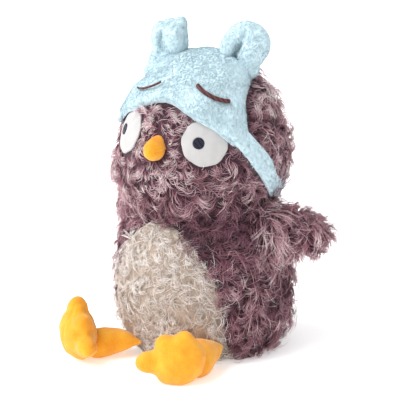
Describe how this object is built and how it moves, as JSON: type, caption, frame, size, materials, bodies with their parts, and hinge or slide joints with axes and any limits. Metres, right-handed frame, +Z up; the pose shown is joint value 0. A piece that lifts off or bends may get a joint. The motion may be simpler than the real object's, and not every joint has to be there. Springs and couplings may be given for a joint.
{
  "type": "plush owl with sleep mask",
  "caption": "Sitting plush owl in shaggy brown fur with a beige belly, yellow beak and feet, and a pale blue plush sleep mask pushed up on its forehead",
  "frame": {"origin": "the middle of the flat seat, on the surface that the owl sits on", "axes": "+Z up; the belly faces -Y; the owl's left side, with the left wing and foot, is +X"},
  "size_m": [0.2134, 0.2054, 0.279],
  "materials": {
    "shaggy_brown_plush": "long curly faux fur, mauve brown with paler tips",
    "shaggy_cream_plush": "curly faux fur, warm beige",
    "yellow_short_plush": "short velvety plush, golden yellow",
    "blue_mask_plush": "soft brushed plush, pale blue",
    "white_felt": "matte wool-like felt, off-white",
    "black_thread": "dense satin-stitch embroidery, blue-black",
    "brown_thread": "embroidery thread, dark red-brown",
    "blue_satin": "smooth satin weave, pale blue",
    "polyester_filling": "loose white polyester fibre and foam",
    "white_elastic": "woven elastic band",
    "bag_cotton": "plain woven unbleached cotton"
  },
  "bodies": {
    "torso": {"body_skin": "shaggy_brown_plush", "belly_panel": "shaggy_cream_plush", "seat_panel": "shaggy_brown_plush", "body_stuffing": "polyester_filling", "pellet_bag": "bag_cotton"},
    "head": {"head_skin": "shaggy_brown_plush", "head_stuffing": "polyester_filling", "eye_felt_left": "white_felt", "eye_felt_right": "white_felt", "pupil_left": "black_thread", "pupil_right": "black_thread", "beak_skin": "yellow_short_plush", "beak_stuffing": "polyester_filling"},
    "mask": {"mask_front": "blue_mask_plush", "mask_padding": "polyester_filling", "mask_lining": "blue_satin", "mask_ear_left": "blue_mask_plush", "mask_ear_right": "blue_mask_plush", "strap_cover": "blue_mask_plush", "strap_elastic": "white_elastic", "eyelid_stitch_left": "brown_thread", "eyelid_stitch_right": "brown_thread"},
    "wing_left": {"wing_skin_left": "shaggy_brown_plush", "wing_stuffing_left": "polyester_filling"},
    "wing_right": {"wing_skin_right": "shaggy_brown_plush", "wing_stuffing_right": "polyester_filling"},
    "leg_left": {"leg_skin_left": "yellow_short_plush", "leg_stuffing_left": "polyester_filling"},
    "leg_right": {"leg_skin_right": "yellow_short_plush", "leg_stuffing_right": "polyester_filling"},
    "foot_left": {"foot_skin_left": "yellow_short_plush", "foot_stuffing_left": "polyester_filling"},
    "foot_right": {"foot_skin_right": "yellow_short_plush", "foot_stuffing_right": "polyester_filling"}
  },
  "joints": [
    {"name": "head_turn", "type": "hinge", "parent": "torso", "child": "head", "pos_m": [0, 0, 0.124], "axis": [0, 0, 1], "range_deg": [-20, 20], "stiffness_Nm_per_rad": 0.15},
    {"name": "mask_pull", "type": "hinge", "parent": "head", "child": "mask", "pos_m": [0, 0, 0.1655], "axis": [0.9954, 0.0958, 0], "range_deg": [0, 14]},
    {"name": "wing_left_flap", "type": "hinge", "parent": "torso", "child": "wing_left", "pos_m": [0.07025, -0.00245, 0.10733], "axis": [0.3156, -0.011, -0.9488], "range_deg": [-20, 60], "stiffness_Nm_per_rad": 0.02},
    {"name": "wing_right_flap", "type": "hinge", "parent": "torso", "child": "wing_right", "pos_m": [-0.07025, -0.00245, 0.10733], "axis": [0.3156, 0.011, 0.9488], "range_deg": [-20, 60], "stiffness_Nm_per_rad": 0.02},
    {"name": "leg_left_lift", "type": "hinge", "parent": "torso", "child": "leg_left", "pos_m": [0.04284, -0.05896, 0.01738], "axis": [-0.809, -0.5878, 0], "range_deg": [0, 30], "stiffness_Nm_per_rad": 0.05},
    {"name": "leg_right_lift", "type": "hinge", "parent": "torso", "child": "leg_right", "pos_m": [-0.03011, -0.06458, 0.01316], "axis": [-0.9063, 0.4226, 0], "range_deg": [0, 30], "stiffness_Nm_per_rad": 0.05},
    {"name": "foot_left_rock", "type": "hinge", "parent": "leg_left", "child": "foot_left", "pos_m": [0.05301, -0.0818, 0.0145], "axis": [-0.8387, -0.5446, 0], "range_deg": [0, 15], "stiffness_Nm_per_rad": 0.03},
    {"name": "foot_right_rock", "type": "hinge", "parent": "leg_right", "child": "foot_right", "pos_m": [-0.04417, -0.08994, 0.012], "axis": [-0.8387, 0.5446, 0], "range_deg": [0, 15], "stiffness_Nm_per_rad": 0.03}
  ]
}
